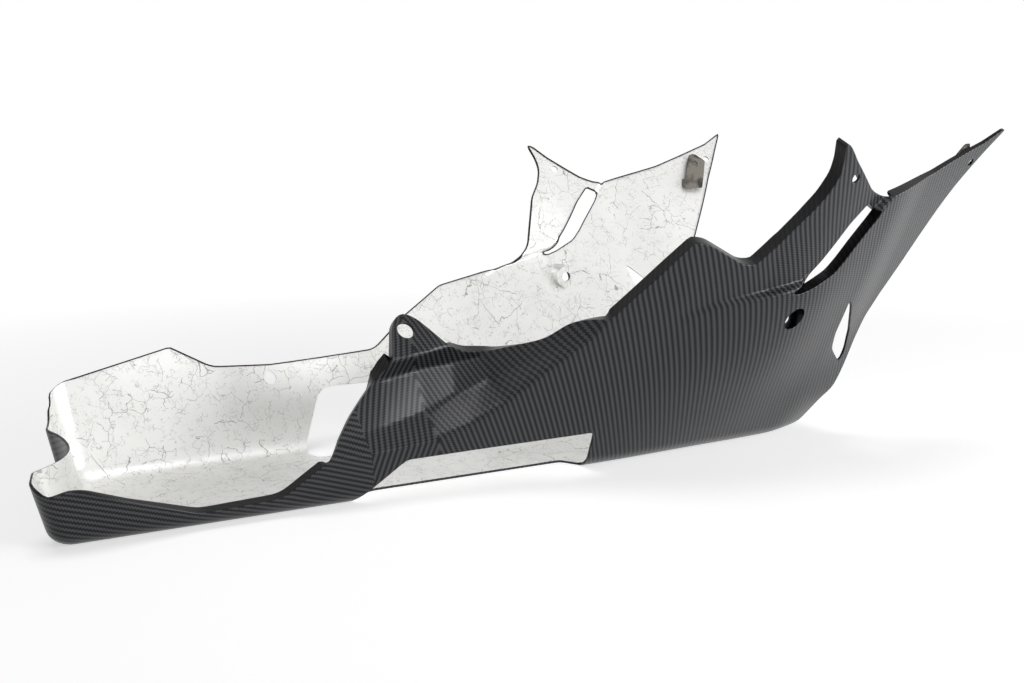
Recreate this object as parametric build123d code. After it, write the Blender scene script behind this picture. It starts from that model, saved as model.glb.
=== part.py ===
from build123d import *
import math
import os

# Motorcycle belly pan: one carbon-fibre moulding, open at the top, that hangs under the engine.
# The origin is on the floor under the middle of the pan. +X is forward, +Y is the left side of
# the motorcycle and +Z is up. All sizes are in millimetres.

# The laminate and its turned-in edges
wall = 2.0
lean_factor = 1.2          # a wall that leans is this much thicker when it is measured along Y
rim_tilt = 0.62            # rise of a turned-in edge for each millimetre that it runs inwards
rim_lip = 2.2              # thickness of a turned-in edge

# Stations run along the length from a line under the engine's middle. The pan's own middle is at
# this station, and it goes to the origin when the pieces are written.
middle_x = -7.55

# The hull: half widths of the outer face at six heights, for stations along the length
heights = (0, 48, 112, 158, 219, 300)
stations = {
    -540: (85, 97, 107, 117, 126, 138),
    -164: (85, 100, 118, 130, 146, 164),
    43: (85, 113, 150, 176, 204, 231),
    166: (79, 119, 172, 202, 227, 259),
    250: (74, 110, 154, 181, 211, 244),
    307: (55, 101, 132, 156, 187, 229),
    404: (24, 73, 102, 121, 151, 196),
}
stations_start, stations_end = -540, 404
sections_at = [-540, -164, -95, -30, 25, 75, 120, 166, 210, 250, 288, 325, 404]
rim_depth = {-540: 2, -380: 3, -300: 9, -164: 9, 43: 12, 166: 12, 250: 9, 307: 5, 404: 3}
recess_rim_depth = 9
chine_radius = 16

# The rear wall leans back, runs a little askew and is scooped out for the tyre
rear_x = -381.5
rear_skew = 0.20
rear_lean = 0.30
rear_corner_radius = 15
scoop_radius = 90
scoop_depth = 19
scoop_y = 8
scoop_lobe_radius = 9
rear_edge = [(-120, 42), (-95, 42), (-84, 51), (0, 51), (84, 61), (97, 68), (120, 100)]
rear_edge_reach = 28

# The front wall closes the trough between the side panels
dam_x = 296
dam_height = 46

# Outline of the side panels, as stations and heights on the outer face
right_rear_edge = [(-470, 35), (-402, 36), (-381, 46), (-346, 31), (-297, 13), (-236, 15)]
left_rear_edge = [(-470, 45), (-392, 58), (-378, 71), (-363, 82), (-273, 103), (-238, 83), (-185, 80)]
left_middle_edge = [(-80, 84), (-42, 111), (7, 136), (93, 149), (115, 153), (134, 168)]
right_middle_edge = [(10, 143), (58, 203), (70, 202), (107, 184), (119, 184), (134, 199)]
horn_rear_edge = [(152, 220), (166, 239), (172, 255), (170, 268), (163, 284)]
horn_front_edge = [(182, 266), (199, 256), (214, 246), (229, 239)]
wing_top_edge = [(245, 236), (311, 250), (377, 270), (402, 292)]
front_edge = [(388, 272), (368, 240), (350, 206), (332, 172), (316, 144), (307, 122), (306, 96), (306, 48)]
chin_edge = [(297, 36), (297, 2)]
slot_rear_edge = [(231, 226), (210, 206), (199, 193), (184, 178), (170, 168), (154, 159)]
slot_front_edge = [(169, 157), (186, 163), (200, 172), (214, 185), (226, 202), (238, 222)]
nose_opening = [(250, 145), (260, 136), (285, 110), (295, 90), (294, 77), (266, 95), (256, 112)]
corner_radius = 9

# The recess that clears the exhaust in the right panel: half width and height of its five edges
recess = {
    -260: ((96, 34), (96, 46), (64, 86), (72, 100), (52, 136)),
    -150: ((100, 43), (99, 63), (75, 94), (83, 110), (62, 146)),
    -115: ((101, 46), (98, 68), (73, 100), (82, 114), (63, 146)),
    -85: ((106, 58), (91, 80), (73, 102), (77, 118), (66, 148)),
    -60: ((114, 73), (97, 86), (74, 104), (76, 114), (70, 150)),
    -25: ((134, 103), (126, 109), (112, 121), (108, 130), (104, 160)),
    14: ((162, 137), (166, 142), (170, 148), (174, 154), (196, 185)),
}
outboard = 320             # beyond every wall
above = 340                # over every edge

# The edge of the right panel along the recess and its ear: station, height and half width
exhaust_cut = [(-199, 43, 99), (-177, 71, 92), (-152, 97, 76), (-143, 108, 82)]
ear_edge = [(-136, 137, 68), (-131, 143, 65), (-125, 145, 64), (-119, 143, 65), (-113, 139, 68)]
recess_edge = [(-90, 117, 78), (-75, 111, 75), (-57, 110, 75), (-24, 123, 112), (-8, 141, 138)]
ear_hole = (-126, 132)
ear_hole_diameter = 13
ear_y = 68
ear_lean = 29

# The panel that carries the upper fixing lies deeper than the flank, behind a ledge
step_depth = 8.5
step_line = {52: 131, 96: 149, 137: 156, 169: 163, 200: 179, 226: 211, 262: 256}
step_fade = {52: -1, 96: 3, 137: step_depth}

# Openings in the trough, for the exhaust and the oil drain
right_window = [(-184, -5), (-137, 33), (30, 37), (36, -5)]
left_window = [(-164, -5), (-143, 48), (-134, 55), (30, 52), (36, -5)]
window_reach = 70
window_floor = {-1: [(-186, 86), (-154, 57), (26, 57), (38, 86)], 1: [(-166, 86), (-158, 54), (26, 54), (38, 86)]}

# Fixings: station and height of each hole on the outer face
bore_length = 24
side_hole = (173, 135)
side_hole_diameter = 10.5
side_cup_diameter = 19
cup_floor = 177
horn_hole = (190, 251)
horn_hole_diameter = 8
wing_hole = (373, 262)
wing_hole_diameter = 7
rear_hole = (-186, 68)
rear_hole_diameter = 11

# The bonded tabs behind the wing tips
tab_outline = [(338, 240), (352, 270), (357, 278), (362, 279), (372, 271), (358, 240)]
tab_thickness = 2.0
tab_inset = 6
tab_hole = (359, 268)
tab_hole_diameter = 6.5
tab_foot = [(339, 240), (342, 250), (362, 252), (358, 240)]
tab_move = {-1: (0, 0), 1: (-6, -10)}


def smooth(knots, values, x):
    """Value at x of the smooth curve through the given points, which never swings past them."""
    steps = [b - a for a, b in zip(knots, knots[1:])]
    slopes = [(b - a) / step for a, b, step in zip(values, values[1:], steps)]
    turns = [slopes[0]]
    for first, second in zip(slopes, slopes[1:]):
        turns.append(2 * first * second / (first + second) if first * second > 0 else 0)
    turns.append(slopes[-1])
    i = max(k for k in range(len(steps)) if knots[k] <= x or k == 0)
    t = (x - knots[i]) / steps[i]
    start = values[i] * (1 + 2 * t) * (1 - t) ** 2 + values[i + 1] * t * t * (3 - 2 * t)
    return start + steps[i] * t * (1 - t) * (turns[i] * (1 - t) - turns[i + 1] * t)


def widths_at(x):
    """Half widths of the outer face at one station, one for each of the heights."""
    return [smooth(list(stations), column, x) for column in zip(*stations.values())]


def half_width(x, h):
    """Half width of the outer face at a station and a height."""
    return smooth(heights, widths_at(x), h)


def hull(depths, floor):
    """Closed body of the pan's outer form, with its walls moved in by the depths and its floor raised."""
    sections = []
    for x in sections_at:
        move = smooth(list(depths), list(depths.values()), x) * lean_factor
        side = [(w - move, max(h, floor)) for w, h in zip(widths_at(x), heights)]
        right = Spline(*[Vector(x, -y, z) for y, z in side])
        left = Spline(*[Vector(x, y, z) for y, z in side])
        section = Face(Wire([Line(right @ 0, left @ 0), left, Line(right @ 1, left @ 1), right]))
        sections.append(section.fillet_2d(chine_radius - floor, section.vertices().sort_by(Axis.Z)[:2]))
    return loft(sections, ruled=True)


def on_flank(points, inset=0):
    """Adds the half width of the outer face, less an inset, to points of a station and a height."""
    return [(x, h, half_width(x, h) - inset) for x, h in points]


def slanted(points, radius):
    """Face through edge points, drawn where the slanted direction of the rims meets the middle plane."""
    flat = [Vector(x, h + rim_tilt * y) for x, h, y in points]
    radii = []
    for before, corner, after in zip(flat[-1:] + flat[:-1], flat, flat[1:] + flat[:1]):
        turn = (corner - before).get_angle(after - corner)
        shorter = min((corner - before).length, (after - corner).length)
        radii.append(0 if turn < 4 else min(radius, 0.45 * shorter / math.tan(math.radians(turn / 2))))
    return Plane.XZ * make_face(FilletPolyline(*flat, radius=radii, close=True))


def outward(face, side):
    """Runs a face of the middle plane outwards and down, square to a leaning wall."""
    return extrude(face, amount=1.3 * outboard, dir=(0, side, -rim_tilt))


def waste(side, growth):
    """Everything over and before the edge of one side panel, and its slot, grown by a margin."""
    if side > 0:
        rear = on_flank(left_rear_edge + left_middle_edge)
    else:
        rear = on_flank(right_rear_edge) + exhaust_cut + ear_edge + recess_edge + on_flank(right_middle_edge)
    horn = on_flank(horn_rear_edge + horn_front_edge, step_depth)
    front = on_flank(wing_top_edge + front_edge + chin_edge)
    frame = [(front[-1][0], -above, 0), (2 * above, -above, 0), (2 * above, 2 * above, 0), (-470, 2 * above, 0)]
    slot = on_flank(slot_rear_edge, step_depth) + on_flank(slot_front_edge)
    faces = [slanted(rear + horn + front + frame, corner_radius), slanted(slot, corner_radius)]
    if growth:
        faces = [offset(face, amount=growth) for face in faces]
    return [outward(face, side) for face in faces]


def across(points, side, start, end):
    """Body with an outline of stations and heights, from one half width to another on one side."""
    face = Plane.XZ * make_face(Polyline(*[Vector(x, h) for x, h in points], close=True))
    return Pos(0, side * start, 0) * extrude(face, amount=end - start, dir=(0, side, 0))


def ruled_body(sections, side):
    """Body through outlines of half widths and heights, one at each station."""
    faces = []
    for x, points in sections.items():
        faces.append(Face(Wire.make_polygon([Vector(x, side * y, h) for y, h in points], close=True)))
    return loft(faces, ruled=True)


def recess_body(inset):
    """What the exhaust recess takes from the right panel, moved in by an inset."""
    sections = {}
    for x, points in recess.items():
        inner = [(y - inset * lean_factor, h) for y, h in points]
        sections[x] = inner + [(inner[-1][0], above), (outboard, above), (outboard, inner[0][1])]
    return ruled_body(sections, -1)


def step_body(side, inset):
    """What the panel of the upper fixing stands back from the flank, moved in by an inset."""
    sections = {}
    for x, low in step_line.items():
        depth = step_fade.get(x, step_depth) + inset * lean_factor
        low = low - inset
        levels = [low, (2 * low + above) / 3, (low + 2 * above) / 3, above]
        inner = [(half_width(x, h) - depth, h) for h in levels]
        sections[x] = inner + [(outboard, above), (outboard, low)]
    return ruled_body(sections, side)


def rear_side(body, inset):
    """Cuts a body off at the rear wall, moved in by an inset, rounds that end and scoops it out."""
    plane = Plane(origin=(rear_x + inset, 0, 0), x_dir=(0, 1, 0), z_dir=(-1, rear_skew, -rear_lean))
    body = split(body, bisect_by=plane, keep=Keep.BOTTOM)
    end = body.faces().filter_by(GeomType.PLANE).filter_by(lambda face: face.normal_at().Y > 0.05)[0]
    body = fillet(end.edges().sort_by(Axis.Z)[:-1], rear_corner_radius - inset)
    axis = Plane(origin=(rear_x + scoop_depth - scoop_radius, scoop_y, 0), z_dir=(-rear_lean, 0, 1))
    body = body - axis * Cylinder(scoop_radius + inset, 2 * above)
    scooped = body.faces().filter_by(GeomType.CYLINDER).sort_by(SortBy.AREA)[-1]
    return fillet(scooped.edges().filter_by(GeomType.LINE), scoop_lobe_radius + inset)


def formed(depths, floor, inset):
    """The pan's form as one closed body, with the rear wall, the recess and the steps taken off."""
    body = rear_side(hull(depths, floor), inset)
    return body - recess_body(inset) - step_body(-1, inset) - step_body(1, inset)


def side_bore(place, diameter, side, start):
    """Cylinder along Y through one side panel."""
    face = Plane.XZ * Pos(*place) * Circle(diameter / 2)
    return Pos(0, side * start, 0) * extrude(face, amount=outboard - start, dir=(0, side, 0))


def square_bore(place, diameter, side, inset=0):
    """Cylinder square to one side panel, through a place on its outer face."""
    x, h = place
    forward = half_width(x + 1, h) - half_width(x - 1, h)
    upward = half_width(x, h + 1) - half_width(x, h - 1)
    origin = (x, side * (half_width(x, h) - inset * lean_factor), h)
    return Plane(origin=origin, z_dir=(-forward, 2 * side, -upward)) * Cylinder(diameter / 2, bore_length)


def rear_waste(growth):
    """Everything over the rear wall, grown by a margin."""
    edge = [(y, h - growth) for y, h in rear_edge]
    face = Plane.YZ * make_face(Polyline(*edge, (outboard, above), (-outboard, above), close=True))
    return Pos(rear_x + rear_edge_reach, 0, 0) * extrude(face, amount=above, dir=(-1, 0, 0))


def window(side):
    """Opening low in one side panel that runs on into the floor."""
    edge = right_window if side < 0 else left_window
    floor = make_face(Polyline(*[(x, side * y) for x, y in window_floor[side]], close=True))
    return [across(edge, side, window_reach, outboard), extrude(floor, amount=2 * wall, both=True)]


def openings(side):
    """The window, the opening in the nose and the plain fixing holes of one side panel."""
    bores = [square_bore(horn_hole, horn_hole_diameter, side, step_depth / lean_factor),
             square_bore(wing_hole, wing_hole_diameter, side)]
    if side > 0:
        bores.append(square_bore(rear_hole, rear_hole_diameter, side))
    return window(side) + [across(nose_opening, side, window_reach, outboard)] + bores


def ear_bore():
    """Cylinder through the ear of the right panel, square to it."""
    x, h = ear_hole
    lean = math.radians(ear_lean)
    towards = Plane(origin=(x, -ear_y, h), z_dir=(0, -math.cos(lean), math.sin(lean)))
    return towards * Cylinder(ear_hole_diameter / 2, bore_length)


def belly_pan():
    """The moulding: outer form less cavity, with rims turned in along every edge of the panels."""
    outer = formed({stations_start: 0, stations_end: 0}, 0, 0)
    cavity = formed({stations_start: wall, stations_end: wall}, wall, wall)
    between_rims = formed(rim_depth, wall, wall) - recess_body(recess_rim_depth)
    pan = outer - rear_waste(0)
    for side in (-1, 1):
        pan -= waste(side, 0)
        cavity -= waste(side, rim_lip)
    pan = pan - cavity - between_rims
    dam = Pos(dam_x, 0, dam_height / 2) * Box(wall, 2 * outboard, dam_height)
    pan += outer & dam
    for side in (-1, 1):
        cup = side_bore(side_hole, side_cup_diameter, side, cup_floor)
        cup_wall = side_bore(side_hole, side_cup_diameter + 2 * wall, side, cup_floor - wall)
        pan = pan + (outer & cup_wall) - cup - side_bore(side_hole, side_hole_diameter, side, window_reach)
        pan -= openings(side)
    return pan - ear_bore()


def shell(outer_inset, inner_inset):
    """Layer of the hull between two insets."""
    outer, inner = [hull({stations_start: inset, stations_end: inset}, wall) for inset in (outer_inset, inner_inset)]
    return outer - inner


def wing_tab(side):
    """Mounting tab bonded behind a wing tip: a plate in line with the wing, on a foot."""
    along, up = tab_move[side]
    plate, foot = [across([(x + along, h + up) for x, h in outline], side, window_reach, outboard)
                   for outline in (tab_outline, tab_foot)]
    hole = square_bore((tab_hole[0] + along, tab_hole[1] + up), tab_hole_diameter, side, tab_inset)
    return (shell(tab_inset, tab_inset + tab_thickness) & plate) + (shell(wall, tab_inset) & foot) - hole


if __name__ == "__main__":
    os.makedirs("parts", exist_ok=True)
    pieces = {"belly_pan": belly_pan(), "wing_tab_left": wing_tab(1), "wing_tab_right": wing_tab(-1)}
    for name, piece in pieces.items():
        export_step(Pos(-middle_x, 0, 0) * piece, "parts/" + name + ".step")
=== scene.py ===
import math
import bpy
import numpy as np
from mathutils import Matrix, Vector
from mathutils.geometry import delaunay_2d_cdt


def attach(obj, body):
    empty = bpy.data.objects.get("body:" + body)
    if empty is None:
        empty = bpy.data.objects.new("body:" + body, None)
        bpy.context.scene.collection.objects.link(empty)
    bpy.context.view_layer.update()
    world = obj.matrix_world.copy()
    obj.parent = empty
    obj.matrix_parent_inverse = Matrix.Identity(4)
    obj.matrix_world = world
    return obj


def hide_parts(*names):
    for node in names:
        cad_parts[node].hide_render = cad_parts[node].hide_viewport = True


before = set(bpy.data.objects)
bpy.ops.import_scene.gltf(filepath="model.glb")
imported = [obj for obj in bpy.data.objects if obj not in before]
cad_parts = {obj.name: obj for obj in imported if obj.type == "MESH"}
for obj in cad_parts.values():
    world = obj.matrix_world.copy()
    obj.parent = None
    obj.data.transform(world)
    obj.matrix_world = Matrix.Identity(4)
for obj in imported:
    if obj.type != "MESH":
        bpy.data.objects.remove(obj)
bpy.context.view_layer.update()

# The carbon-fibre laminate of the hull: one thin moulding, wider and steeper towards the nose.
# Its form is a half width for each station along the length and each height over the floor.
# Sizes in this file are in millimetres until a mesh is made. Stations run from a line under the
# engine's middle, and the pan's own middle, at MIDDLE_X, goes to the origin.
MM = 0.001
MIDDLE_X = -7.55
WALL = 2.0
HEIGHTS = np.array([0, 48, 112, 158, 219, 300.0])
STATIONS = np.array([-540, -164, 43, 166, 250, 307, 404.0])
HALF_WIDTHS = np.array([
    (85, 97, 107, 117, 126, 138),
    (85, 100, 118, 130, 146, 164),
    (85, 113, 150, 176, 204, 231),
    (79, 119, 172, 202, 227, 267),
    (74, 110, 154, 181, 211, 250),
    (55, 101, 132, 156, 187, 229),
    (24, 73, 102, 121, 151, 206)], float)


def smooth(knots, values, at, matched):
    """Smooth curve through given points that never swings past them: each span is a cubic whose end
    slopes are the harmonic means of the slopes on their two sides, and zero at a turning point.
    The first axis of values follows the knots. Matched values have one column for each place asked
    for, and otherwise every place gets all the columns."""
    spans = np.diff(knots)
    slopes = np.diff(values, axis=0) / spans.reshape((-1,) + (1,) * (values.ndim - 1))
    product, total = slopes[:-1] * slopes[1:], slopes[:-1] + slopes[1:]
    inner = np.where(product > 0, 2 * product / np.where(product > 0, total, 1), 0)
    turns = np.concatenate([slopes[:1], inner, slopes[-1:]])
    i = np.clip(np.searchsorted(knots, at) - 1, 0, len(knots) - 2)
    span, t = spans[i], (at - knots[i]) / spans[i]
    if not matched:
        span, t = span[..., None], t[..., None]

    def pick(table, k):
        return np.take_along_axis(table, k[None], axis=0)[0] if matched else table[k]

    start = pick(values, i) * (1 + 2 * t) * (1 - t) ** 2 + pick(values, i + 1) * t * t * (3 - 2 * t)
    return start + span * t * (1 - t) * (pick(turns, i) * (1 - t) - pick(turns, i + 1) * t)


def half_width(x, h):
    """Half width of the outer face at stations x and heights h: smooth along the length first, which
    gives six widths for each point, and then smooth over the height."""
    columns = smooth(STATIONS, HALF_WIDTHS, x, matched=False)
    return smooth(HEIGHTS, np.moveaxis(columns, -1, 0), h, matched=True)


REAL_CORNER = math.radians(42)
ARC_POINTS = 9


def rounded(points, spacing=3.5, bend=28, corner=5, closed=False):
    """Outline through straight runs with its corners rounded: each corner is a parabola between two
    places on its runs, a long one where the outline only bends and a short one at a real corner,
    and never past the middle of a run. The result is a row of places at an even spacing."""
    points = np.array(points, float)
    ring = points if closed else points[1:-1]
    before = np.roll(points, 1, 0) if closed else points[:-2]
    after = np.roll(points, -1, 0) if closed else points[2:]
    back, ahead = before - ring, after - ring
    lengths = np.linalg.norm(back, axis=1), np.linalg.norm(ahead, axis=1)
    turn = np.arccos(np.clip(-(back * ahead).sum(1) / lengths[0] / lengths[1], -1, 1))
    real = turn > REAL_CORNER
    cut = np.where(real, corner, bend) * np.tan(turn / 2)
    cut = np.where(real, np.minimum(cut, 1.2 * corner), cut)
    cut = np.minimum(cut, 0.49 * np.minimum(*lengths))[:, None]
    start = ring + back / lengths[0][:, None] * cut
    end = ring + ahead / lengths[1][:, None] * cut
    t = np.linspace(0, 1, ARC_POINTS)[:, None, None]
    arcs = (1 - t) ** 2 * start + 2 * t * (1 - t) * ring + t * t * end
    arcs = arcs.transpose(1, 0, 2).reshape(-1, 2)
    line = np.concatenate([arcs, arcs[:1]] if closed else [points[:1], arcs, points[-1:]])
    along = np.concatenate([[0], np.cumsum(np.linalg.norm(np.diff(line, axis=0), axis=1))])
    places = np.linspace(0, along[-1], max(int(along[-1] / spacing), 6) + 1)
    even = np.stack([np.interp(places, along, line[:, k]) for k in (0, 1)], 1)
    return even[:-1] if closed else even


# The exhaust recess of the right panel and the step of the upper fixing panels are pressed into the
# same sheet, so both change its half width. The recess has five points at each of its stations, each
# a half width and a height. A mould rounds every crease by about a millimetre.
RECESS_STATIONS = np.array([-260, -150, -115, -85, -60, -25, 14.0])
RECESS = np.array([
    ((96, 34), (94, 47), (64, 86), (72, 100), (52, 136)),
    ((100, 43), (86, 58), (73, 94), (83, 110), (62, 146)),
    ((101, 48), (82, 66), (71, 100), (82, 114), (63, 146)),
    ((107, 60), (79, 78), (71, 102), (77, 118), (66, 148)),
    ((115, 76), (84, 88), (73, 104), (76, 114), (70, 150)),
    ((135, 106), (120, 113), (112, 121), (108, 130), (104, 160)),
    ((162, 137), (166, 142), (170, 148), (174, 154), (196, 185))], float)
STEP_LINE = np.array([
    (52, 131), (96, 149), (137, 156), (169, 163), (200, 179), (226, 211), (262, 256)], float)
STEP_START, STEP_FULL, STEP_END = 62, 137, 266
STEP_DEPTH = 8.5
LEDGE = 6.5
CREASE = 1.2


def pressed_width(x, h, side):
    """Half width with the pressed forms. The recess joins five points, each moving in a straight line
    from station to station, and counts where it is narrower than the hull and over its lowest point.
    The step is a smooth ramp just over its line, and it fades in along the first part of the line."""
    width = half_width(x, h)
    line = np.interp(x, *STEP_LINE.T)
    ramp = np.clip((h - line) / LEDGE, 0, 1)
    fade = np.clip((x - STEP_START) / (STEP_FULL - STEP_START), 0, 1) * (x < STEP_END)
    width = width - STEP_DEPTH * fade * ramp * ramp * (3 - 2 * ramp)
    if side < 0:
        y, z = (np.array([np.interp(x, RECESS_STATIONS, RECESS[:, k, m]) for k in range(5)])
                for m in (0, 1))
        cut = y[0] + 0 * h
        for k, most in enumerate((1, 1, 1, 2)):
            t = np.clip((h - z[k]) / (z[k + 1] - z[k]), 0, most)
            cut = np.where(h > z[k], y[k] + t * (y[k + 1] - y[k]), cut)
        inside = (h > z[0]) & (x > RECESS_STATIONS[0]) & (x < RECESS_STATIONS[-1])
        width = np.where(inside, np.minimum(width, cut), width)
    return width


def wall_width(x, h, side):
    """The pressed half width averaged over a small square, which rounds every crease."""
    total = 0
    for dx in (-CREASE, 0, CREASE):
        for dh in (-CREASE, 0, CREASE):
            total = total + pressed_width(x + dx, np.maximum(h + dh, 0), side)
    return total / 9


# The hull's sheet runs from the right panel round the rear wall to the left panel. A place on it has
# a distance along the sheet, negative on the right, and a distance up from the floor's edge. The
# rear wall ends at REAR_END along the sheet, and a side wall begins at SIDE_START. SLOPE_RUN is the
# length over which a side wall's slope is taken, and the corners are first looked for at FIRST_CORNER.
REAR_X, REAR_SKEW, REAR_LEAN = -382.5, 0.20, 0.20
SCOOP_RADIUS, SCOOP_DEPTH, SCOOP_Y = 90.0, 19.0, 8.0
CHINE, CORNER, LEAST_CORNER, LOBE = 13.0, 17.0, 1.5, 5.0
NOSE_X, CORNER_X = 404.0, -370.0
REAR_END, SIDE_START = 72.0, 98.0
CHINE_RUN = CHINE * math.pi / 2
SLOPE_RUN = 30
FIRST_CORNER = -385.0


def up_from_floor(h):
    """Distance along the sheet for a height: round the chine's quarter circle, then straight up."""
    h = np.asarray(h, float)
    arc = CHINE * np.arccos(np.clip(1 - h / CHINE, -1, 1))
    return np.where(h < CHINE, arc, CHINE_RUN + h - CHINE)


def rear_plane(y, z, inset):
    """Station of the flat rear wall, which leans back as it rises and is askew."""
    return REAR_X + REAR_SKEW * y - REAR_LEAN * z + inset


def corner_place(z, side, inset):
    """Where the flat rear wall and a side wall meet at a height, found by going back and forth."""
    x = np.full_like(z, FIRST_CORNER)
    for _ in range(4):
        y = side * (half_width(x, z) - inset)
        x = rear_plane(y, z, inset)
    return x, y


def sheet_place(w, s):
    """Point of the outer face for arrays of both distances. Near the floor the sheet turns in by a
    quarter circle. The rear wall is the greater of its plane and the scoop's cylinder, blended over
    the lobes; the corner is a quarter ellipse; each side is its half width at a station that runs on
    evenly from the corner to the nose."""
    angle = np.clip(s / CHINE, 0, math.pi / 2)
    z = CHINE * (1 - np.cos(angle)) + np.maximum(s - CHINE_RUN, 0)
    inset = CHINE * (1 - np.sin(angle))
    place = np.zeros((3,) + w.shape)
    for side in (-1, 1):
        here = (w < 0) if side < 0 else (w >= 0)
        a, h, deep = np.abs(w[here]), z[here], inset[here]
        kx, ky = corner_place(h, side, deep)
        size = np.maximum(CORNER - deep, LEAST_CORNER)
        slope = (half_width(kx + SLOPE_RUN, h) - half_width(kx, h)) / SLOPE_RUN
        turn = np.clip((a - REAR_END) / (SIDE_START - REAR_END), 0, 1) * math.pi / 2
        back, ahead = size * (1 - np.sin(turn)), size * (1 - np.cos(turn))
        corner_x = kx - REAR_SKEW * side * back + ahead
        corner_y = ky - side * back + side * slope * ahead
        y_rear = side * a / REAR_END * (np.abs(ky) - size)
        flat = rear_plane(y_rear, h, deep)
        arc = np.sqrt(np.maximum((SCOOP_RADIUS + deep) ** 2 - (y_rear - SCOOP_Y) ** 2, 1))
        scoop = REAR_X + SCOOP_DEPTH - SCOOP_RADIUS - REAR_LEAN * h + arc
        mix = np.clip(0.5 + 0.5 * (scoop - flat) / LOBE, 0, 1)
        x_rear = flat + (scoop - flat) * mix + LOBE * mix * (1 - mix) / 2
        x_start = kx + size
        x_side = x_start + (a - SIDE_START) * (NOSE_X - x_start) / (NOSE_X - CORNER_X)
        y_side = side * (wall_width(x_side, h, side) - deep)
        x = np.where(a <= REAR_END, x_rear, np.where(a < SIDE_START, corner_x, x_side))
        y = np.where(a <= REAR_END, y_rear, np.where(a < SIDE_START, corner_y, y_side))
        place[0][here], place[1][here], place[2][here] = x, y, h
    return place.T


def along_sheet(x, h, side):
    """Distances on the sheet of places given by station and height on one panel."""
    x, h = np.asarray(x, float), np.asarray(h, float)
    turn = np.arccos(np.clip(1 - h / CHINE, -1, 1))
    inset = np.where(h < CHINE, CHINE * (1 - np.sin(turn)), 0)
    start = corner_place(h, side, inset)[0] + np.maximum(CORNER - inset, LEAST_CORNER)
    a = SIDE_START + (x - start) * (NOSE_X - CORNER_X) / (NOSE_X - start)
    return np.stack([side * a, up_from_floor(h)], -1)


def sheet_normal(w, s):
    """Outward direction of the sheet: the cross product of its two slopes, each measured across a
    millimetre."""
    up = sheet_place(w, s + 0.5) - sheet_place(w, np.maximum(s - 0.5, 0))
    on = sheet_place(w + 0.5, s) - sheet_place(w - 0.5, s)
    normal = np.cross(up, on)
    return normal / np.linalg.norm(normal, axis=-1, keepdims=True)


# Outlines of the panels and their openings, as stations and heights on the outer face. The horn is
# the tip of the upper fixing panel, and the rear rim is in distances along the sheet.
RIGHT_REAR = [
    (-400, 41), (-381, 46), (-346, 31), (-297, 13), (-236, 15), (-199, 43), (-177, 71), (-152, 97),
    (-143, 108), (-136, 137), (-131, 143), (-125, 145), (-119, 143), (-113, 139), (-90, 117),
    (-75, 111), (-57, 110), (-24, 123), (-8, 141), (10, 143), (58, 203), (70, 202), (107, 184),
    (119, 184), (134, 199)]
LEFT_REAR = [
    (-376, 74), (-363, 82), (-273, 103), (-238, 83), (-185, 80), (-80, 84), (-42, 111), (7, 136),
    (93, 149), (115, 153), (134, 168)]
HORN = [
    (152, 220), (164, 236), (170, 251), (168, 263), (162, 278), (169, 276), (184, 264), (204, 251),
    (218, 242), (231, 237)]
WING = [
    (245, 235), (311, 254), (377, 279), (402, 293), (388, 272), (368, 240), (350, 206), (332, 172),
    (316, 144), (307, 122), (306, 96), (306, 48), (297, 36), (297, 0)]
REAR_RIM = [(80, 66), (62, 57), (0, 51), (-60, 52), (-78, 50)]
SLOT = [
    (223, 230), (208, 214), (196, 197), (186, 184), (175, 172), (165, 164), (157, 158), (163, 157),
    (176, 161), (198, 172), (208, 183), (217, 195), (233, 215), (238, 223)]
NOSE_OPENING = [(250, 145), (260, 136), (285, 110), (295, 90), (294, 77), (266, 95), (256, 112)]
WINDOWS = {
    -1: [(-178, 0), (-137, 33), (30, 37), (35.3, 0)],
    1: [(-162.3, 0), (-143, 48), (-134, 55), (30, 52), (35.3, 0)]}
HORN_HOLE, WING_HOLE = (190, 251, 4.0), (373, 262, 3.5)
REAR_HOLE, EAR_HOLE = (-186, 68, 5.5), (-126, 132, 6.5)
HOLE_POINTS = 24


def panel_line(points, side, **style):
    """Rounded outline on one panel, as distances on the sheet."""
    line = rounded(points, **style)
    return along_sheet(line[:, 0], line[:, 1], side)


def ring(x, h, radius, side):
    """Round hole in a panel that leans: its outline is a circle on the sheet itself, so its station
    and height are spread by the lengths that the sheet has along each."""
    w, s = along_sheet(np.array([x]), np.array([h]), side).T
    on = np.linalg.norm(sheet_place(w + 1, s) - sheet_place(w - 1, s)) / 2
    up = np.linalg.norm(sheet_place(w, s + 1) - sheet_place(w, s - 1)) / 2
    turn = np.linspace(0, 2 * math.pi, HOLE_POINTS, endpoint=False)
    return np.stack([w + radius * np.cos(turn) / on, s + radius * np.sin(turn) / up], 1)


def bottom_edge():
    """The sheet's lower edge from the right nose round the rear to the left nose, with a notch round
    each window."""
    nose = {side: along_sheet(*np.array(WING[-1:]).T, side)[0, 0] for side in (-1, 1)}
    notch = {side: panel_line(WINDOWS[side], side, bend=9, corner=4) for side in (-1, 1)}
    right, left = notch[-1][::-1], notch[1]
    ends = [nose[-1], right[0, 0], right[-1, 0], left[0, 0], left[-1, 0], nose[1]]
    runs = [np.linspace(a, b, int((b - a) / 4)) for a, b in zip(ends[0::2], ends[1::2])]
    straight = [np.stack([run, 0 * run], 1) for run in runs]
    return np.concatenate([straight[0], right[1:-1], straight[1], left[1:-1], straight[2]])


def top_edge():
    """The sheet's upper edge from the left nose back, over the rear wall and on to the right nose."""
    panels = {side: along_sheet(*np.array(points + HORN + WING).T, side)
              for side, points in ((-1, RIGHT_REAR), (1, LEFT_REAR))}
    rear = np.array([(w, float(up_from_floor(h))) for w, h in REAR_RIM])
    return rounded(np.concatenate([panels[1][::-1], rear, panels[-1]]))


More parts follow.
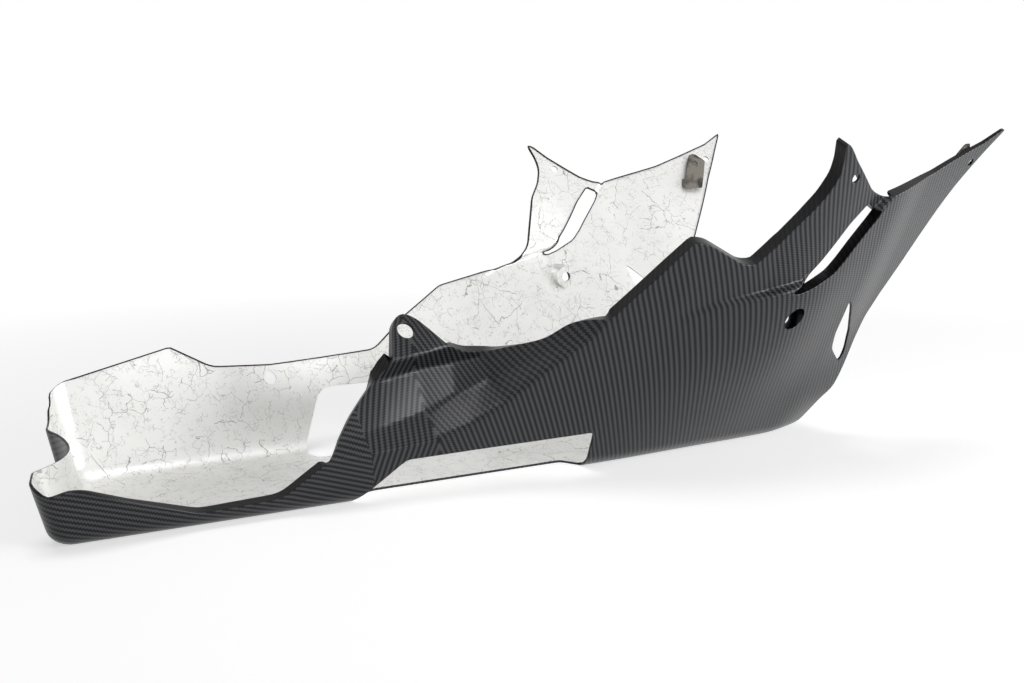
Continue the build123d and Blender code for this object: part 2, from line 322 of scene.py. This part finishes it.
def within(places, loop):
    """Whether places lie inside a closed outline, by counting the edges that a ray crosses."""
    x, y = places[:, 0][:, None], places[:, 1][:, None]
    (x0, y0), (x1, y1) = loop.T, np.roll(loop, -1, 0).T
    crosses = (y0 > y) != (y1 > y)
    over = x < (x1 - x0) * (y - y0) / np.where(y1 == y0, 1, y1 - y0) + x0
    return (crosses & over).sum(1) % 2 == 1


def far_from(places, edges, gap):
    """Whether places keep a gap from all the points of the outlines, worked out in batches."""
    keep = np.ones(len(places), bool)
    batch = 4000
    for start in range(0, len(places), batch):
        offsets = places[start:start + batch, None] - edges[None]
        keep[start:start + batch] = ((offsets ** 2).sum(2) > gap * gap).all(1)
    return keep


def fill(loops, spacing):
    """Triangles that fill the first outline and leave out the others: a hexagonal grid of places
    inside, joined to the outlines by a constrained Delaunay triangulation. Returns the places, the
    outlines' first, and the triangles."""
    edges = np.concatenate(loops)
    low, high = loops[0].min(0), loops[0].max(0)
    row, gap = spacing * 0.866, 0.75 * spacing
    x, y = np.meshgrid(np.arange(low[0], high[0], spacing), np.arange(low[1], high[1], row))
    x[1::2] += spacing / 2
    grid = np.stack([x.ravel(), y.ravel()], 1)
    grid = grid[within(grid, loops[0])]
    for loop in loops[1:]:
        grid = grid[~within(grid, loop)]
    grid = grid[far_from(grid, edges, gap)]
    places = np.concatenate([edges, grid])
    starts = np.cumsum([0] + [len(loop) for loop in loops])
    links = [(a + k, a + (k + 1) % (b - a))
             for a, b in zip(starts, starts[1:]) for k in range(b - a)]
    found = delaunay_2d_cdt([Vector(p) for p in places.tolist()], links, [], 0, 1e-6)
    if len(found[0]) != len(places):
        raise ValueError("two outlines cross or touch")
    index = np.array([ids[0] for ids in found[3]])
    triangles = index[np.array([face for face in found[2] if len(face) == 3])]
    middle = places[triangles].mean(1)
    keep = within(middle, loops[0])
    for loop in loops[1:]:
        keep &= ~within(middle, loop)
    triangles = triangles[keep]
    a, b, c = (places[triangles[:, k]] for k in range(3))
    (px, py), (qx, qy) = (b - a).T, (c - a).T
    area = px * qy - py * qx
    triangles[area < 0] = triangles[area < 0][:, ::-1]
    return places, triangles[np.abs(area) > 1e-6]


# Edges. Along the top of the panels and round the slots the sheet turns in, by a depth that changes
# with the station, and beside the recess with the height. Windows, noses, the chin and openings are
# cut square. Each edge has a small round. The left panel is turned in less than the right one.
RIM_DEPTH = np.array([
    (-420, 2), (-370, 3), (-300, 8), (-164, 9), (43, 12), (166, 12), (250, 9), (307, 5), (404, 3)])
RECESS_RIM_START, RECESS_RIM_END = -200, -140
RECESS_RIM_DEPTH = np.array([(43, 6), (108, 13)])
CHIN_START, CHIN_TOP = 290, 130
SLOT_RIM, LEFT_RIM = 9.5, 3.0
EDGE_ROUND = 0.9
LIP = 2.2


def spread(values, reach):
    """Running mean of values along a closed outline."""
    padded = np.concatenate([values[-reach:], values, values[:reach]])
    return np.convolve(padded, np.ones(2 * reach + 1) / (2 * reach + 1), "valid")


def edge_rows(loop, depth):
    """Rows of points that carry an outline from the outer face to the inner one: a quarter round, the
    turned-in face, its tip, its underside. Gives the rows, the normals at both sides of each band
    between them, and the rows' places on the pattern. The outline's own direction and the sheet's
    normal give the direction in which the sheet lies. An outline on the floor's edge has no round."""
    place, normal = sheet_place(*loop.T), sheet_normal(*loop.T)
    run = np.roll(place, -1, 0) - np.roll(place, 1, 0)
    inside = np.cross(run, normal)
    inside /= np.linalg.norm(inside, axis=1, keepdims=True)
    flat = np.roll(loop, -1, 0) - np.roll(loop, 1, 0)
    flat = np.stack([-flat[:, 1], flat[:, 0]], 1) / np.linalg.norm(flat, axis=1, keepdims=True)
    depth = depth[:, None]
    lip = LIP * np.clip((depth - WALL) / 2, 0, 1)
    bend = EDGE_ROUND * (loop[:, 1:] > 0)
    turns = np.linspace(0, math.pi / 2, 4)
    rows = [place + bend * ((1 - math.sin(a)) * inside - (1 - math.cos(a)) * normal) for a in turns]
    tip = place - depth * normal
    rows += [tip, tip + lip * inside, place - WALL * normal + lip * inside]
    round_normals = [math.cos(a) * normal - math.sin(a) * inside for a in turns]
    bands = list(zip(round_normals, round_normals[1:]))
    bands += [(-inside, -inside), (-normal, -normal), (inside, inside)]
    reach = [0, 0.3, 0.6, 0.9, depth, depth + 2, depth + 4]
    return rows, bands, [loop - far * flat for far in reach]


# Triangles gathered as corners, each with its normal and its place on the pattern, for one mesh.
# The pan has three materials: carbon outside, foil inside, and a darker carbon with painted shade on
# the edges.
CARBON, FOIL, SHADED_EDGE = 0, 1, 2


def strip(a, b, normals, patterns, keep=None):
    """Band of triangles between two rows of points round a closed outline, less the spans left out."""
    n = len(a)
    i = np.arange(n) if keep is None else np.nonzero(keep)[0]
    j = (i + 1) % n
    table = [np.concatenate(pair) for pair in ((a, b), normals, patterns)]
    triangles = np.concatenate([np.stack([i, j, j + n], 1), np.stack([i, j + n, i + n], 1)])
    return [column[triangles] for column in table]


def make_mesh(name, parts, materials):
    """Mesh from gathered triangles: corners at the same place to a thousandth of a millimetre become
    one vertex, and triangles that shrink to a line are dropped. Each corner keeps its own normal."""
    corners, normals, pattern = (np.concatenate([part[k] for part in parts]) for k in range(3))
    slots = np.concatenate([np.full(len(part[0]), part[3]) for part in parts])
    corners = corners - [MIDDLE_X, 0, 0]
    keys, index = np.unique(np.round(corners.reshape(-1, 3), 3), axis=0, return_inverse=True)
    faces = index.reshape(-1, 3)
    keep = (faces[:, 0] != faces[:, 1]) & (faces[:, 1] != faces[:, 2]) & (faces[:, 2] != faces[:, 0])
    faces, normals, pattern, slots = faces[keep], normals[keep], pattern[keep], slots[keep]
    mesh = bpy.data.meshes.new(name)
    mesh.vertices.add(len(keys))
    mesh.vertices.foreach_set("co", (keys * MM).ravel())
    mesh.loops.add(faces.size)
    mesh.loops.foreach_set("vertex_index", faces.ravel())
    mesh.polygons.add(len(faces))
    mesh.polygons.foreach_set("loop_start", np.arange(0, faces.size, 3))
    mesh.polygons.foreach_set("loop_total", np.full(len(faces), 3))
    for material in materials:
        mesh.materials.append(material)
    mesh.polygons.foreach_set("material_index", slots)
    mesh.polygons.foreach_set("use_smooth", np.ones(len(faces), bool))
    mesh.uv_layers.new(name="pattern").data.foreach_set("uv", (pattern * MM).ravel())
    mesh.update()
    length = np.linalg.norm(normals, axis=2, keepdims=True)
    mesh.normals_split_custom_set((normals / np.maximum(length, 1e-9)).reshape(-1, 3))
    piece = bpy.data.objects.new(name, mesh)
    bpy.context.scene.collection.objects.link(piece)
    return piece


def oriented(loop, sense):
    """The outline turning the asked way: 1 is anticlockwise."""
    (x, y), (u, v) = loop.T, np.roll(loop, -1, 0).T
    return loop if (x * v - y * u).sum() * sense > 0 else loop[::-1]


def holes(side):
    """Outlines of one panel's holes with the depth of each edge."""
    slot = panel_line(SLOT, side, spacing=2.5, corner=2, closed=True)
    nose = panel_line(NOSE_OPENING, side, corner=4, closed=True)
    found = [(slot, SLOT_RIM if side < 0 else LEFT_RIM), (nose, WALL)]
    for place in (HORN_HOLE, WING_HOLE, REAR_HOLE if side > 0 else EAR_HOLE):
        found.append((ring(*place, side), WALL))
    return [(oriented(loop, -1), np.full(len(loop), depth)) for loop, depth in found]


# The side fixing's cup: a round pocket along Y with a flat floor and the screw's hole in it.
CUP_X, CUP_Z = 173, 135
CUP_RADIUS, CUP_FLOOR, SIDE_HOLE_RADIUS = 9.5, 177.0, 5.25
CUP_POINTS = 36


def cup_line(side):
    """Outline of the cup on the sheet, a circle as seen from the side."""
    turn = np.linspace(0, 2 * math.pi, CUP_POINTS, endpoint=False)
    x, z = CUP_X + CUP_RADIUS * np.cos(turn), CUP_Z + CUP_RADIUS * np.sin(turn)
    return oriented(along_sheet(x, z, side), -1)


def cup_rows(loop, side):
    """Rows of the cup: straight in along Y to its floor, to the hole, through, out to its outer wall
    and back to the inner face. The cup's back is shaded as the wall round it."""
    place, panel = sheet_place(*loop.T), -sheet_normal(*loop.T)
    across = (place - [CUP_X, 0, CUP_Z]) * [1, 0, 1]
    across /= np.linalg.norm(across, axis=1, keepdims=True)

    def level(radius, y):
        return [CUP_X, side * y, CUP_Z] + radius * across

    outer, under = CUP_RADIUS + WALL, CUP_FLOOR - WALL
    outside = along_sheet(CUP_X + outer * across[:, 0], CUP_Z + outer * across[:, 2], side)
    inner = sheet_place(*outside.T) - WALL * sheet_normal(*outside.T)
    rows = [place, level(CUP_RADIUS, CUP_FLOOR), level(SIDE_HOLE_RADIUS, CUP_FLOOR),
            level(SIDE_HOLE_RADIUS, under), level(outer, under), inner]
    outwards = np.tile([0.0, side, 0.0], (len(loop), 1))
    bands = [(normal, normal) for normal in (-across, outwards, -across, panel, across)]
    return rows, bands, [loop + k * 3.0 for k in range(6)]


def outline():
    """The sheet's whole outline and the depth of its edge: plain along the bottom, the rear and the
    chin, turned in along the top, and deepest beside the recess."""
    bottom, top = bottom_edge(), top_edge()[1:-1]
    x, y, z = sheet_place(*top.T).T
    depth = np.interp(x, *RIM_DEPTH.T)
    depth[y > 0] = np.minimum(depth[y > 0], LEFT_RIM)
    chin = (x > CHIN_START) & (z < CHIN_TOP)
    depth[(np.abs(top[:, 0]) < SIDE_START) | chin] = WALL
    beside = (y < 0) & (x > RECESS_RIM_START) & (x < RECESS_RIM_END)
    depth[beside] = np.interp(z[beside], *RECESS_RIM_DEPTH.T)
    depth = np.concatenate([np.full(len(bottom), WALL), depth])
    loop = np.concatenate([bottom, top])
    return loop, np.where(loop[:, 1] == 0, WALL, spread(depth, 2))


# The windows' corners in the floor, as stations and half widths.
WINDOW_FLOOR = {-1: [(-154, 57), (26, 57)], 1: [(-158, 54), (26, 54)]}


def floor_parts(edge, outer, inner):
    """The floor between the sheet's lower edges: flat above and below, cut for the windows, with
    square edges there and along the straight front. It goes round clockwise as seen from above."""
    on = edge[:, 1] == 0
    first = np.nonzero(on & ~np.roll(on, 1))[0]
    last = np.nonzero(on & ~np.roll(on, -1))[0]
    cuts = [[(x, -y) for x, y in WINDOW_FLOOR[-1][::-1]], WINDOW_FLOOR[1], []]
    flat = ((0, 0), (0, 1))
    below, above, free = [], [], []
    for k, cut in enumerate(cuts):
        run = np.arange(first[k], last[k] + 1)
        ends = outer[[last[k], first[(k + 1) % 3]], :2]
        line = np.pad(rounded([tuple(ends[0])] + cut + [tuple(ends[1])], corner=7)[1:-1], flat)
        below += [outer[run], line]
        above += [inner[run], line]
        free += [False] * (len(run) - 1) + [True] * (len(line) + 1)
    below, above, free = np.concatenate(below), np.concatenate(above), np.array(free)
    above[:, 2] = WALL
    places, triangles = fill([below[:, :2]], 7)
    grid = np.pad(places[len(below):], flat)
    low, high = np.concatenate([below, grid]), np.concatenate([above, grid + [0, 0, WALL]])
    up = np.zeros(triangles.shape + (3,)) + [0, 0, 1.0]
    run = np.roll(below, -1, 0) - np.roll(below, 1, 0)
    away = np.cross([0, 0, 1.0], run)
    away /= np.linalg.norm(away, axis=1, keepdims=True)
    sides = strip(above, below, (away, away), (above[:, :2], below[:, :2] + 2), free)
    return [[low[triangles[:, ::-1]], -up, places[triangles[:, ::-1]], CARBON],
            [high[triangles], up, places[triangles], FOIL], sides + [CARBON]]


# The front wall that closes the trough: its station, its height, and the height of the point that
# its outline shrinks towards.
DAM_X, DAM_HEIGHT, DAM_MIDDLE = 296.0, 46.0, 20.0


def dam_parts():
    """The front wall: a slab between the panels whose outline follows their section, let a
    millimetre into them, with its edges broken by about half a millimetre."""
    h = np.linspace(1, DAM_HEIGHT, 14)
    under = CHINE * (1 - np.sqrt(1 - np.clip(1 - h / CHINE, 0, 1) ** 2))
    y = half_width(np.full_like(h, DAM_X), h) - under - 1
    line = np.concatenate([np.stack([-y, h], 1), np.stack([y, h], 1)[::-1]])
    n = len(line)
    away = line - [0, DAM_MIDDLE]
    away /= np.linalg.norm(away, axis=1, keepdims=True)
    away[[n // 2 - 1, n // 2]] = [0, 1]
    tilt = np.column_stack([np.zeros(n), away])
    ahead = np.tile([1.0, 0, 0], (n, 1))
    back, front = DAM_X - WALL / 2, DAM_X + WALL / 2 - 0.4
    rows = [np.column_stack([np.full(n, x), line - shrink * away])
            for x, shrink in ((front, 0.6), (front - 0.3, 0.1), (back + 0.3, 0.1), (back, 0.6))]
    pairs = [(ahead, tilt), (tilt, tilt), (tilt, -ahead)]
    parts = [strip(rows[k], rows[k + 1], pairs[k], (line, line + 1)) + [CARBON] for k in range(3)]
    i = np.arange(n // 2 - 1)
    across = n - 2 - i
    cap = np.concatenate([np.stack([i, i + 1, across], 1), np.stack([i, across, across + 1], 1)])
    turned = cap[:, ::-1]
    parts.append([rows[3][cap], -ahead[cap], line[cap], FOIL])
    parts.append([rows[0][turned], ahead[turned], line[turned], CARBON])
    return parts


# The spacing of the mesh. The cloth is folded at one distance from the rear wall's middle, where
# its wales meet in a chevron, and it lies the other way round nearer to the rear wall.
SPACING = 2.8
FOLD, REAR_CLOTH = 372.0, 318.0


def pan_parts():
    """Outer and inner faces over one set of places, joined by the bands of every edge."""
    edge, depth = outline()
    # The edge bands past the first two take the darker carbon, which paints shade on them.
    bordered = [(line,) + edge_rows(line, deep) + ([CARBON] * 2 + [SHADED_EDGE] * 4,)
                for line, deep in [(edge, depth)] + holes(-1) + holes(1)]
    for side in (-1, 1):
        line = cup_line(side)
        # The cup's pocket and bore take the darker carbon, which paints shade on them.
        bordered.append((line,) + cup_rows(line, side) + ([SHADED_EDGE] * 3 + [FOIL] * 2,))
    places, triangles = fill([border[0] for border in bordered], SPACING)
    outer, normal = sheet_place(*places.T), sheet_normal(*places.T)
    inner = outer - WALL * normal
    parts, start = [], 0
    for line, rows, bands, pattern, slots in bordered:
        end = start + len(line)
        outer[start:end], inner[start:end] = rows[0], rows[-1]
        start = end
        keep = (line[:, 1] > 0) | (np.roll(line[:, 1], -1) > 0)
        for k, normals in enumerate(bands):
            band = strip(rows[k], rows[k + 1], normals, pattern[k:k + 2], keep)
            parts.append(band + [slots[k]])
    turned = triangles[:, ::-1]
    parts.append([outer[turned], normal[turned], places[turned], CARBON])
    parts.append([inner[triangles], -normal[triangles], places[triangles], FOIL])
    for part in parts:
        along, up = np.abs(part[2][..., 0]), part[2][..., 1]
        rear = along.mean(1, keepdims=True) < REAR_CLOTH
        cloth = [np.where(rear, up, np.abs(along - FOLD)), np.where(rear, along, up)]
        part[2] = np.stack(cloth, -1)
    return parts + floor_parts(edge, outer, inner) + dam_parts()


# Materials. A pattern is given in real sizes and every colour as it would be picked on screen.
def colour(code):
    """Linear colour of an sRGB hex code."""
    parts = [int(code[k:k + 2], 16) / 255 for k in (1, 3, 5)]
    return [p / 12.92 if p <= 0.04045 else ((p + 0.055) / 1.055) ** 2.4 for p in parts] + [1.0]


def node(tree, kind, inputs=(), **settings):
    """Adds one node: settings are its own properties, and inputs gives each socket a value or a
    link."""
    made = tree.nodes.new(kind)
    for name, value in settings.items():
        setattr(made, name, value)
    for name, value in dict(inputs).items():
        if isinstance(value, bpy.types.NodeSocket):
            tree.links.new(value, made.inputs[name])
        else:
            made.inputs[name].default_value = value
    return made


def calc(tree, operation, *values):
    """Result of one sum on numbers or sockets."""
    return node(tree, "ShaderNodeMath", dict(enumerate(values)), operation=operation).outputs[0]


def blend(tree, factor, first, second):
    """Colour between two colours."""
    return node(tree, "ShaderNodeMix", {0: factor, 6: first, 7: second}, data_type="RGBA").outputs[2]


def new_material(name):
    """Empty node material."""
    material = bpy.data.materials.new(name)
    material.use_nodes = True
    material.node_tree.nodes.clear()
    return material, material.node_tree


def output(tree, shader):
    """Sends a shader to the material's surface."""
    node(tree, "ShaderNodeOutputMaterial", {"Surface": shader.outputs[0]})


# Carbon laminate: 2x2 twill of 1.5 mm tows under a clear coat. Each tow is over two and under two,
# one cell further on in the next row, so that the wales run at 45 degrees to the tows.
TOW = 0.0015
WALE_TURN = math.radians(24)


def twill(tree):
    """Which of the two sets of tows lies on top, and how high the tow stands across its width."""
    uv = node(tree, "ShaderNodeUVMap", uv_map="pattern").outputs[0]
    scale = {"Vector": uv, "Rotation": (0, 0, WALE_TURN), "Scale": (1 / TOW,) * 3}
    place = node(tree, "ShaderNodeMapping", scale).outputs[0]
    axes = node(tree, "ShaderNodeSeparateXYZ", {0: place})
    a, b = axes.outputs[0], axes.outputs[1]
    cells = calc(tree, "ADD", calc(tree, "FLOOR", a), calc(tree, "FLOOR", b))
    over = calc(tree, "LESS_THAN", calc(tree, "FLOORED_MODULO", cells, 4.0), 2.0)
    across = node(tree, "ShaderNodeMix", {0: over, 2: a, 3: b}).outputs[0]
    part = calc(tree, "SUBTRACT", calc(tree, "FRACT", across), 0.5)
    fall = calc(tree, "MULTIPLY", calc(tree, "MULTIPLY", part, part), 3.0)
    return over, calc(tree, "SUBTRACT", 1.0, fall)


def carbon_material(name, dark, light, metallic, coat):
    """Woven carbon under lacquer: one set of tows is lighter than the other as a painted sheen, and
    each tow has painted shade at its sides."""
    material, tree = new_material(name)
    over, height = twill(tree)
    # Painted shade: each tow darkens towards its sides.
    shade = calc(tree, "MULTIPLY_ADD", height, 0.35, 0.65)
    # Painted sheen: one set of tows takes the lighter tone.
    tone = blend(tree, over, colour(dark), colour(light))
    tone = blend(tree, shade, colour("#000000"), tone)
    output(tree, node(tree, "ShaderNodeBsdfPrincipled", {
        "Base Color": tone, "Roughness": 0.36, "Metallic": metallic, "Coat Weight": coat,
        "Coat Roughness": 0.14, "Specular IOR Level": 0.5 * coat}))
    return material


# Heat foil: the sizes of its cells of creases in metres, with each crease's width and the darkness of
# its painted shade.
CREASES = ((0.040, 0.006, 0.9), (0.014, 0.012, 0.8), (0.005, 0.03, 0.5))


def foil_material():
    """Heat foil pressed on to the inside: bright, creased, with painted shade along the creases, in
    patches. Creases are the borders of three sizes of distorted cells."""
    material, tree = new_material("heat_foil")
    uv = node(tree, "ShaderNodeUVMap", uv_map="pattern").outputs[0]

    def noise(scale, detail, socket=0):
        inputs = {"Vector": uv, "Scale": scale, "Detail": detail}
        return node(tree, "ShaderNodeTexNoise", inputs).outputs[socket]

    mix = {0: 0.012, 4: uv, 5: noise(60.0, 3.0, "Color")}
    bent = node(tree, "ShaderNodeMix", mix, data_type="VECTOR").outputs[1]
    crease_and_shade = 0.0
    for size, width, strength in CREASES:
        cells = node(tree, "ShaderNodeTexVoronoi", {"Vector": bent, "Scale": 1 / size},
                     feature="DISTANCE_TO_EDGE")
        line = calc(tree, "LESS_THAN", cells.outputs[0], width)
        where = calc(tree, "GREATER_THAN", noise(0.5 / size, 2.0), 0.52)
        line = calc(tree, "MULTIPLY", calc(tree, "MULTIPLY", line, where), strength)
        crease_and_shade = calc(tree, "MAXIMUM", line, crease_and_shade)
    smudge = noise(22.0, 5.0)
    specks = calc(tree, "GREATER_THAN", noise(900.0, 2.0), 0.66)
    dirt = calc(tree, "MULTIPLY", specks, calc(tree, "GREATER_THAN", smudge, 0.5))
    tone = blend(tree, calc(tree, "MULTIPLY", smudge, 0.5), colour("#fafaf8"), colour("#dddcda"))
    tone = blend(tree, calc(tree, "MULTIPLY", dirt, 0.5), tone, colour("#6c6b68"))
    # Painted shade darkens the creases.
    tone = blend(tree, calc(tree, "MULTIPLY", crease_and_shade, 0.65), tone, colour("#4a4946"))
    dents = calc(tree, "MULTIPLY", crease_and_shade, -0.5)
    height = calc(tree, "ADD", calc(tree, "MULTIPLY", smudge, 2.0), dents)
    bump = node(tree, "ShaderNodeBump", {"Height": height, "Strength": 0.35, "Distance": 0.001})
    output(tree, node(tree, "ShaderNodeBsdfPrincipled", {
        "Base Color": tone, "Roughness": 0.4, "Metallic": 0.6, "Normal": bump.outputs[0]}))
    return material


# The twill's lighter tone is a painted sheen on one set of tows.
pan = make_mesh("pan", pan_parts(), [
    carbon_material("carbon_twill", "#17181a", "#4e4f52", 0.2, 0.25), foil_material(),
    # Darker copy of the carbon: painted shade for the edges, flanges and the cup.
    carbon_material("carbon_edge_shaded", "#0b0b0c", "#1b1b1d", 0.0, 0.15)])
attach(pan, "root")
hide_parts("belly_pan")

# The two tabs bonded behind the wing tips: a plate with a hole, in line with the wing, on a foot.
# The insets are from the hull's outer face to each plate's two faces. The left tab sits lower.
TAB = [(338, 240), (352, 270), (357, 278), (362, 279), (372, 271), (358, 240)]
TAB_FOOT = [(339, 240), (342, 250), (362, 252), (358, 240)]
TAB_INSETS, FOOT_INSETS = (7.2, 9.6), (2.2, 7.4)
TAB_HOLE, TAB_HOLE_RADIUS = (359, 268), 3.25
TAB_MOVE = {-1: (0, 0), 1: (-6, -10)}


def plate(line, side, insets, hole=None):
    """Closed plate between two insets, over an outline with rounded corners, less a round hole."""
    loops = [oriented(rounded(np.add(line, TAB_MOVE[side]), spacing=2, corner=2.5, closed=True), 1)]
    if hole:
        turn = np.linspace(0, -2 * math.pi, HOLE_POINTS, endpoint=False)
        circle = TAB_HOLE_RADIUS * np.stack([np.cos(turn), np.sin(turn)], 1)
        loops.append(np.add(hole, TAB_MOVE[side]) + circle)
    places, triangles = fill(loops, 3)
    faces = [np.column_stack([places[:, 0], side * (half_width(*places.T) - inset), places[:, 1]])
             for inset in insets]
    outer, inner = faces[::-side]
    corners, start = [outer[triangles], inner[triangles[:, ::-1]]], 0
    for loop in loops:
        rows = slice(start, start + len(loop))
        corners.append(strip(inner[rows], outer[rows], (loop, loop), (loop, loop))[0])
        start += len(loop)
    corners = np.concatenate(corners)
    flat = np.cross(corners[:, 1] - corners[:, 0], corners[:, 2] - corners[:, 0])[:, None]
    return [corners, np.repeat(flat, 3, 1), corners[:, :, [0, 2]], 0]


def tab_material():
    """Bare grey composite, stained by the dark resin that bonds it."""
    material, tree = new_material("bare_composite")
    place = node(tree, "ShaderNodeTexCoord").outputs["Object"]
    spots = {"Vector": place, "Scale": 70.0, "Detail": 4.0}
    stain = node(tree, "ShaderNodeTexNoise", spots).outputs[0]
    fade = {"Value": stain, "From Min": 0.45, "From Max": 0.6}
    share = node(tree, "ShaderNodeMapRange", fade).outputs[0]
    tone = blend(tree, share, colour("#8a857c"), colour("#33302c"))
    output(tree, node(tree, "ShaderNodeBsdfPrincipled", {"Base Color": tone, "Roughness": 0.6}))
    return material


bare = tab_material()
for side, name in ((-1, "wing_tab_right"), (1, "wing_tab_left")):
    parts = [plate(TAB, side, TAB_INSETS, TAB_HOLE), plate(TAB_FOOT, side, FOOT_INSETS)]
    tab = make_mesh(name + "_plate", parts, [bare])
    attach(tab, "root")
    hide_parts(name)


# The studio: a pale floor that keeps the shadow and shows white to the camera, soft lamps, and the
# camera. The floor also glows for the rays that see it, so that it is white outside the shadow, and
# it fades to plain white between two distances from the pan, in metres.
WHITE = (1.0, 1.0, 1.0, 1.0)
FLOOR_LIFT = 0.56
FLOOR_SIZE = 6
FADE_START, FADE_END = 0.45, 1.2
AMBIENT = 0.12


def seen_rays(tree):
    """One for the rays of the camera, of mirrors and of glass, and nought for the rest."""
    path = node(tree, "ShaderNodeLightPath")
    seen = calc(tree, "MAXIMUM", path.outputs["Is Camera Ray"], path.outputs["Is Glossy Ray"])
    return calc(tree, "MAXIMUM", seen, path.outputs["Is Transmission Ray"])


def show_white(tree, lit, share):
    """White for the rays that see the background, mixed with the lit shader by a share."""
    white = node(tree, "ShaderNodeEmission", {"Color": WHITE, "Strength": 1.0})
    factor = calc(tree, "MULTIPLY", seen_rays(tree), share)
    return node(tree, "ShaderNodeMixShader", {0: factor, 1: lit, 2: white.outputs[0]})


def studio():
    """Floor plane and world. The floor fades to plain white away from the object."""
    data = bpy.data.meshes.new("floor")
    corners = [(x * FLOOR_SIZE, y * FLOOR_SIZE, 0) for x, y in ((-1, -1), (1, -1), (1, 1), (-1, 1))]
    data.from_pydata(corners, [], [(0, 1, 2, 3)])
    ground = bpy.data.objects.new("floor", data)
    bpy.context.scene.collection.objects.link(ground)
    material, tree = new_material("paper")
    lit = node(tree, "ShaderNodeBsdfDiffuse", {"Color": colour("#fbfbfb")})
    place = node(tree, "ShaderNodeNewGeometry").outputs["Position"]
    far = node(tree, "ShaderNodeVectorMath", {0: place}, operation="LENGTH").outputs["Value"]
    fade = {"Value": far, "From Min": FADE_START, "From Max": FADE_END}
    share = node(tree, "ShaderNodeMapRange", fade).outputs[0]
    strength = calc(tree, "MULTIPLY", seen_rays(tree), FLOOR_LIFT)
    lift = node(tree, "ShaderNodeEmission", {"Color": WHITE, "Strength": strength})
    lifted = node(tree, "ShaderNodeAddShader", {0: lit.outputs[0], 1: lift.outputs[0]})
    output(tree, show_white(tree, lifted.outputs[0], share))
    data.materials.append(material)
    world = bpy.data.worlds.new("studio")
    bpy.context.scene.world = world
    world.use_nodes = True
    tree = world.node_tree
    tree.nodes.clear()
    dim = node(tree, "ShaderNodeBackground", {"Color": WHITE, "Strength": AMBIENT})
    sky = show_white(tree, dim.outputs[0], 1.0)
    node(tree, "ShaderNodeOutputWorld", {"Surface": sky.outputs[0]})


def lamp(name, place, target, size, power):
    """Square soft lamp that faces a target."""
    data = bpy.data.lights.new(name, "AREA")
    data.size, data.energy = size, power
    lamp = bpy.data.objects.new(name, data)
    towards = Vector(target) - Vector(place)
    lamp.matrix_world = towards.to_track_quat("-Z", "Y").to_matrix().to_4x4()
    lamp.matrix_world.translation = place
    bpy.context.scene.collection.objects.link(lamp)


def camera_at(place, yaw, pitch, lens):
    """Camera at a place, turned from +Y towards +X by the yaw and down by the pitch, in degrees."""
    yaw, pitch = math.radians(yaw), math.radians(pitch)
    level = math.cos(pitch)
    look = Vector((math.sin(yaw) * level, math.cos(yaw) * level, -math.sin(pitch)))
    right = Vector((math.cos(yaw), -math.sin(yaw), 0))
    camera = bpy.data.objects.new("camera", bpy.data.cameras.new("camera"))
    camera.data.lens, camera.data.sensor_width, camera.data.clip_start = lens, 36, 0.01
    camera.matrix_world = Matrix((right, right.cross(look), -look)).transposed().to_4x4()
    camera.matrix_world.translation = place
    bpy.context.scene.collection.objects.link(camera)
    bpy.context.scene.camera = camera


studio()
lamp("key", (0.9, -1.4, 0.35), (0.1, 0, 0.1), size=0.8, power=14.5)
lamp("nose", (1.7, -0.9, 0.3), (0.2, -0.1, 0.1), size=0.8, power=10.5)
lamp("top", (-0.5, 0.0, 1.9), (-0.2, 0.1, 0), size=1.0, power=8)
camera_at((-0.47212 - MIDDLE_X * MM, -0.880, 0.27192), yaw=28.66, pitch=9.645, lens=39.33)
bpy.context.scene.view_settings.view_transform = "Standard"
